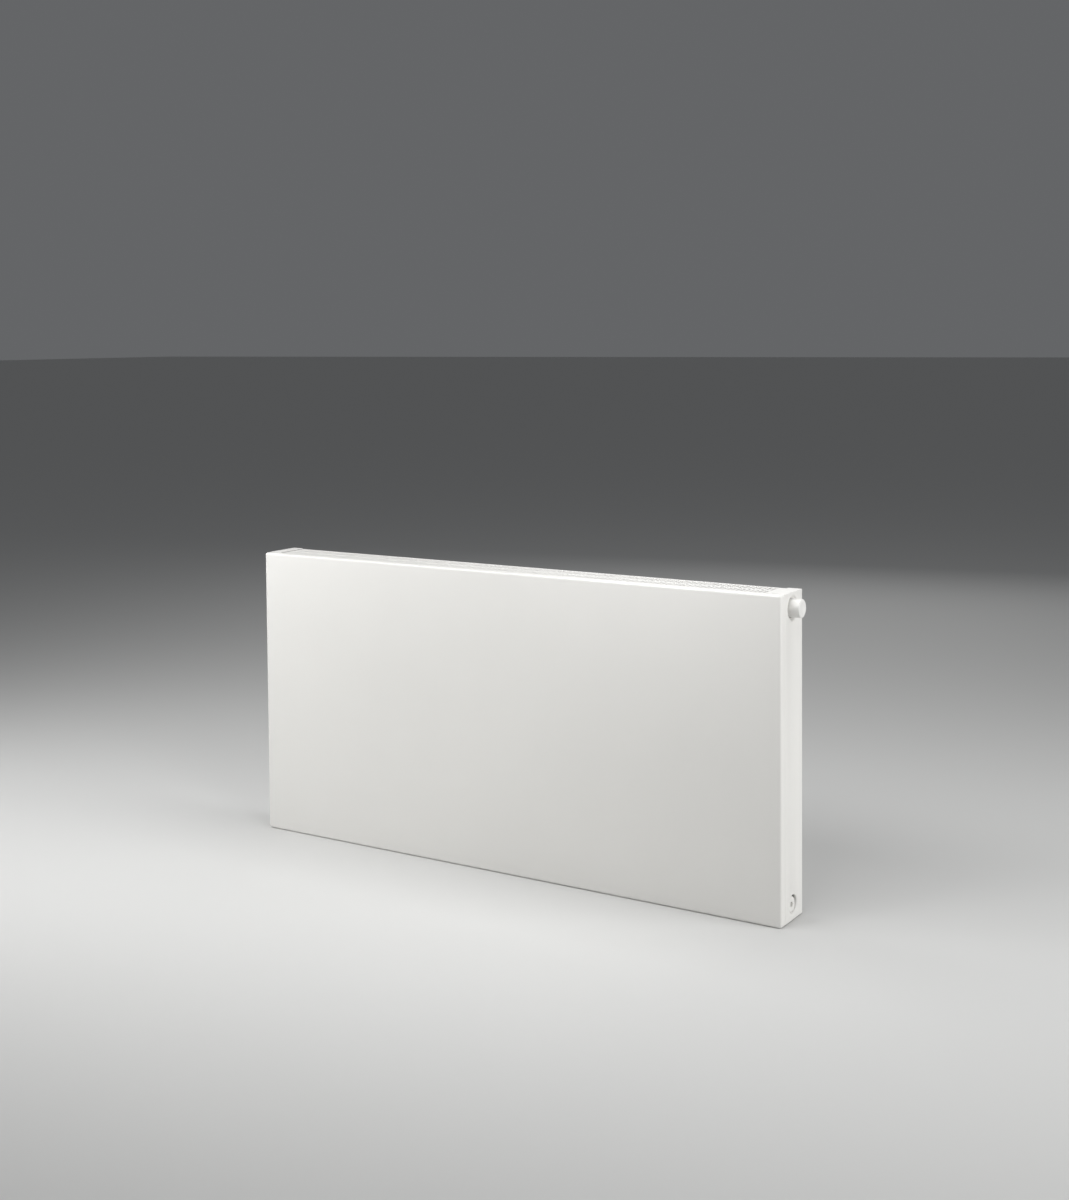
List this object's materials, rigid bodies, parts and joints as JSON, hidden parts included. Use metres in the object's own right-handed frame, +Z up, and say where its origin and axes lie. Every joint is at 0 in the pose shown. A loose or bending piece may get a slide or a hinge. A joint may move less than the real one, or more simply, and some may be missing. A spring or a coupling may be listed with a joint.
{
  "type": "panel radiator with built-in valve",
  "caption": "Flat-fronted white steel panel radiator with folded side covers, slotted top grille and a round hand cap on its built-in valve.",
  "frame": {"origin": "middle of the four hanging lugs, on the plane where their backs rest on the wall brackets", "axes": "+X along the radiator towards the valve end, the flat front faces -Y and the wall is on the +Y side, +Z up"},
  "size_m": [1.219, 0.106, 0.6],
  "materials": {
    "enamel_white": "satin stove enamel",
    "galvanised_steel": "galvanised",
    "brass": "machined",
    "nickel_plate": "satin nickel plate",
    "stainless_steel": "ground",
    "rubber": "moulded",
    "grey_plastic": "moulded",
    "white_plastic": "fine moulded satin"
  },
  "bodies": {
    "root": {"front_sheet": "enamel_white", "front_panel_outer_skin": "enamel_white", "front_panel_inner_skin": "enamel_white", "rear_panel_inner_skin": "enamel_white", "rear_panel_outer_skin": "enamel_white", "front_convector": "enamel_white", "rear_convector": "enamel_white", "side_cover_left": "enamel_white", "side_cover_right": "enamel_white", "cover_clips": "galvanised_steel", "lug_top_left": "enamel_white", "lug_top_right": "enamel_white", "lug_bottom_left": "enamel_white", "lug_bottom_right": "enamel_white", "top_left_tee": "enamel_white", "bottom_left_tee": "enamel_white", "return_tee": "enamel_white", "supply_socket": "enamel_white", "connection_bracket": "enamel_white", "feed_pipe": "enamel_white", "valve_housing": "enamel_white", "valve_insert": "brass", "insert_gasket": "rubber", "spindle_seal": "rubber", "gland_nut": "brass", "valve_spring": "stainless_steel", "vent_plug": "nickel_plate", "blind_plug_left": "enamel_white", "blind_plug_right": "enamel_white", "plug_gaskets": "rubber"},
    "grille": {"top_grille": "enamel_white", "grille_clips": "galvanised_steel"},
    "preset_ring": {"preset_ring": "grey_plastic"},
    "valve_spindle": {"valve_spindle": "stainless_steel", "valve_disc": "rubber"},
    "valve_cap": {"valve_cap": "white_plastic"},
    "bleed_screw": {"bleed_screw": "nickel_plate"},
    "bleed_nozzle": {"bleed_nozzle": "white_plastic"}
  },
  "joints": [
    {"name": "grille_lift", "type": "slide", "parent": "root", "child": "grille", "axis": [0, 0, 1], "range_m": [0, 0.06]},
    {"name": "preset_ring_turn", "type": "hinge", "parent": "root", "child": "preset_ring", "pos_m": [0.6, -0.053, 0.271], "axis": [1, 0, 0], "range_deg": [0, 315]},
    {"name": "valve_spindle_slide", "type": "slide", "parent": "root", "child": "valve_spindle", "axis": [1, 0, 0], "range_m": [-0.00225, 0], "deforming": ["valve_spring"]},
    {"name": "valve_cap_turn", "type": "hinge", "parent": "valve_spindle", "child": "valve_cap", "pos_m": [0.6, -0.053, 0.271], "axis": [1, 0, 0], "range_deg": [-540, 0]},
    {"name": "bleed_screw_turn", "type": "hinge", "parent": "root", "child": "bleed_screw", "pos_m": [-0.59, -0.053, 0.271], "axis": [-1, 0, 0], "range_deg": [0, 360]},
    {"name": "bleed_nozzle_swivel", "type": "hinge", "parent": "root", "child": "bleed_nozzle", "pos_m": [-0.595, -0.053, 0.271], "axis": [-1, 0, 0], "continuous": true}
  ],
  "couplings": [
    {"joint": "valve_spindle_slide", "follows": "valve_cap_turn", "m_per_rad": 0.00023873}
  ]
}
